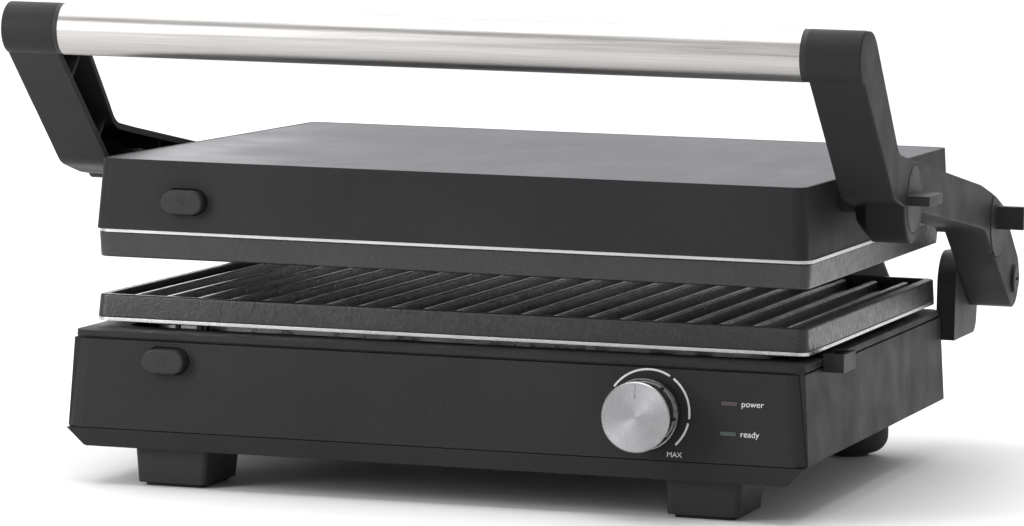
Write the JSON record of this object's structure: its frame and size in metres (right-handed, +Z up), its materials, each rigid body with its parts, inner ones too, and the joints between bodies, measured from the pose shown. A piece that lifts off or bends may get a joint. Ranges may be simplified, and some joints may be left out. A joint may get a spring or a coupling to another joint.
{
  "type": "panini press",
  "caption": "Floating-head contact grill with ridged cast plates, swinging side arms, a steel tube handle, a thermostat knob and plate-release buttons.",
  "frame": {"origin": "on the table plane under the centre of the base housing's footprint", "axes": "+X to the right seen from the front, +Y to the back, towards the hinge, +Z up"},
  "size_m": [0.415, 0.3813, 0.222],
  "materials": {
    "charcoal_plastic": "fine matt moulding texture",
    "black_plastic": "matt",
    "nonstick_cast": "speckled non-stick coating",
    "bright_trim": "bright satin",
    "brushed_tube": "brushed along the tube",
    "reflector_sheet": "aluminised sheet",
    "heater_sheath": "heat-darkened sheath",
    "dark_sheet": "dark satin coated sheet",
    "turned_aluminium": "radially turned",
    "gloss_black": "gloss",
    "zinc_steel": "zinc plated",
    "red_lens": "unlit tinted lens",
    "green_lens": "unlit tinted lens",
    "print_grey": "pad print",
    "foot_rubber": "matt",
    "thermostat_resin": "moulded resin",
    "board_green": "circuit board",
    "terminal_white": "moulded",
    "guard_grey": "light grey moulding"
  },
  "bodies": {
    "base": {"base_housing": "charcoal_plastic", "front_panel": "charcoal_plastic", "base_cover": "black_plastic", "base_rim": "charcoal_plastic", "lower_reflector": "reflector_sheet", "lower_strip": "bright_trim", "lower_element": "heater_sheath", "lower_plate": "nonstick_cast", "drip_spout": "black_plastic", "foot_pads": "foot_rubber", "base_screws": "zinc_steel", "thermostat": "thermostat_resin", "dial_scale": "print_grey", "power_lens": "red_lens", "ready_lens": "green_lens", "indicator_board": "board_green", "cord_inlet": "black_plastic", "terminal_block": "terminal_white", "thermal_fuse": "terminal_white", "lower_button_spring": "zinc_steel", "hinge_bridge": "black_plastic", "harness_guard": "guard_grey", "front_foot_left": "black_plastic", "front_foot_right": "black_plastic", "rear_foot_left": "foot_rubber", "rear_foot_right": "foot_rubber"},
    "knob": {"knob_body": "gloss_black", "knob_ring": "turned_aluminium", "knob_face": "turned_aluminium", "knob_shaft": "zinc_steel"},
    "lower_release": {"lower_button": "black_plastic", "lower_latch": "zinc_steel"},
    "knuckles": {"knuckle_left": "zinc_steel", "knuckle_right": "zinc_steel"},
    "arms": {"left_arm": "charcoal_plastic", "right_arm": "charcoal_plastic", "handle_tube": "brushed_tube", "handle_rod": "zinc_steel", "collar_left": "black_plastic", "collar_right": "black_plastic", "pivot_pin_left": "zinc_steel", "pivot_pin_right": "zinc_steel", "hinge_cap_left": "black_plastic", "hinge_cap_right": "black_plastic", "release_spring": "zinc_steel"},
    "tilt_lock": {"tilt_lock": "black_plastic"},
    "release_lever": {"release_lever": "black_plastic"},
    "head": {"upper_housing": "charcoal_plastic", "top_sheet": "dark_sheet", "upper_strip": "bright_trim", "upper_reflector": "reflector_sheet", "upper_element": "heater_sheath", "upper_plate": "nonstick_cast", "pivot_frame": "zinc_steel", "head_screws": "zinc_steel", "pivot_bush_left": "black_plastic", "pivot_bush_right": "black_plastic", "upper_button_spring": "zinc_steel"},
    "upper_release": {"upper_button": "black_plastic", "upper_latch": "zinc_steel"}
  },
  "joints": [
    {"name": "knob_turn", "type": "hinge", "parent": "base", "child": "knob", "pos_m": [0.1018, -0.15, 0.0479], "axis": [0, 1, 0], "range_deg": [-52, 140]},
    {"name": "lower_release_press", "type": "slide", "parent": "base", "child": "lower_release", "axis": [0, 1, 0], "range_m": [0, 0.003], "stiffness_N_per_m": 600, "springref_m": -0.002},
    {"name": "press_close", "type": "hinge", "parent": "base", "child": "knuckles", "pos_m": [0, 0.1915, 0.0845], "axis": [1, 0, 0], "range_deg": [0, 3.91]},
    {"name": "arm_open", "type": "hinge", "parent": "knuckles", "child": "arms", "pos_m": [0, 0.1915, 0.0845], "axis": [-1, 0, 0], "range_deg": [0, 171]},
    {"name": "head_level", "type": "hinge", "parent": "arms", "child": "head", "pos_m": [0, -0.0542, 0.1412], "axis": [1, 0, 0], "range_deg": [-3.91, 0]},
    {"name": "tilt_lock_turn", "type": "hinge", "parent": "arms", "child": "tilt_lock", "pos_m": [0.2, -0.0542, 0.1412], "axis": [1, 0, 0], "range_deg": [0, 90]},
    {"name": "release_lever_turn", "type": "hinge", "parent": "arms", "child": "release_lever", "pos_m": [0.2, 0.1455, 0.1175], "axis": [1, 0, 0], "range_deg": [0, 20], "stiffness_Nm_per_rad": 0.3, "springref_deg": -11.46},
    {"name": "upper_release_press", "type": "slide", "parent": "head", "child": "upper_release", "axis": [0, 1, 0], "range_m": [0, 0.003], "stiffness_N_per_m": 600, "springref_m": -0.002}
  ],
  "couplings": [
    {"joint": "head_level", "follows": "press_close", "ratio": -1}
  ]
}
